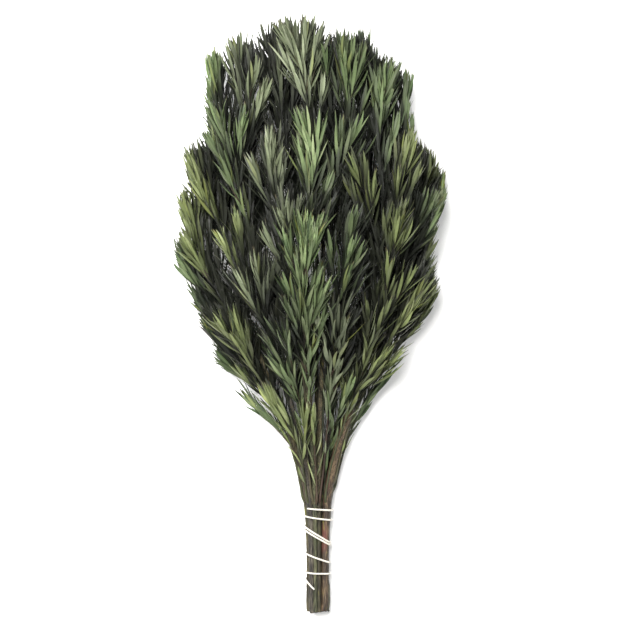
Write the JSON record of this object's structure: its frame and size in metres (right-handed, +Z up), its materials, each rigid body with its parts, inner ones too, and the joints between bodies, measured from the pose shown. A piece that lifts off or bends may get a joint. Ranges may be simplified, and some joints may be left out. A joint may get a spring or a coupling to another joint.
{
  "type": "bunch of dried eucalyptus",
  "caption": "Tied bunch of dried willow eucalyptus lying on its side: woody cut stems bound by a wound string, fanning out into slender sprigs of narrow lance-shaped leaves.",
  "frame": {"origin": "on the surface that the bunch lies on, under the middle of its box", "axes": "+Y along the bunch from the cut ends to the leaf tips, +X across it, +Z up from the surface"},
  "size_m": [0.2636, 0.5926, 0.1399],
  "materials": {
    "bark_purple": "dry bark, purple-grey, finely ridged",
    "bark_olive": "dry bark, olive green, finely ridged",
    "bark_brown": "dry bark, dull brown, finely ridged",
    "bark_red": "dry bark, reddish brown with rosy patches",
    "leaf_silver": "dried leaf, matt, silvery grey-green",
    "leaf_green": "dried leaf, matt with a faint waxy sheen, grey-green",
    "leaf_olive": "dried leaf, matt, olive to yellow-green",
    "leaf_dark": "dried leaf, matt, dark green",
    "tie_cream": "smooth cream cotton string"
  },
  "bodies": {
    "root": {"cut_stem_01": "bark_purple", "cut_stem_02": "bark_olive", "cut_stem_03": "bark_brown", "cut_stem_04": "bark_red", "cut_stem_05": "bark_brown", "cut_stem_06": "bark_olive", "cut_stem_07": "bark_purple", "cut_stem_08": "bark_olive", "cut_stem_09": "bark_olive", "cut_stem_10": "bark_brown", "cut_stem_11": "bark_red", "leafy_sprig_01": "leaf_green", "leafy_sprig_02": "leaf_silver", "leafy_sprig_03": "leaf_silver", "leafy_sprig_04": "leaf_silver", "leafy_sprig_05": "leaf_green", "leafy_sprig_06": "leaf_dark", "leafy_sprig_07": "leaf_green", "leafy_sprig_08": "leaf_green", "leafy_sprig_09": "leaf_green", "leafy_sprig_10": "leaf_dark", "leafy_sprig_11": "leaf_olive", "leafy_sprig_12": "leaf_olive", "leafy_sprig_13": "leaf_dark", "leafy_sprig_14": "leaf_dark", "leafy_sprig_15": "leaf_dark", "leafy_sprig_16": "leaf_dark", "leafy_sprig_17": "leaf_olive", "leafy_sprig_18": "leaf_olive", "leafy_sprig_19": "leaf_green", "leafy_sprig_20": "leaf_olive", "leafy_sprig_21": "leaf_dark", "leafy_sprig_22": "leaf_green", "leafy_sprig_23": "leaf_silver", "leafy_sprig_24": "leaf_green", "leafy_sprig_25": "leaf_green", "leafy_sprig_26": "leaf_olive", "leafy_sprig_27": "leaf_olive", "leafy_sprig_28": "leaf_silver", "leafy_sprig_29": "leaf_green", "leafy_sprig_30": "leaf_green", "leafy_sprig_31": "leaf_olive", "leafy_sprig_32": "leaf_green", "leafy_sprig_33": "leaf_silver", "leafy_sprig_34": "leaf_green", "leafy_sprig_35": "leaf_olive", "leafy_sprig_36": "leaf_silver", "leafy_sprig_37": "leaf_olive", "leafy_sprig_38": "leaf_olive", "leafy_sprig_39": "leaf_green", "leafy_sprig_40": "leaf_green", "leafy_sprig_41": "leaf_olive", "leafy_sprig_42": "leaf_olive", "leafy_sprig_43": "leaf_green", "leafy_sprig_44": "leaf_dark", "leafy_sprig_45": "leaf_dark", "leafy_sprig_46": "leaf_green", "leafy_sprig_47": "leaf_dark", "leafy_sprig_48": "leaf_olive", "string_tie": "tie_cream"}
  },
  "joints": []
}
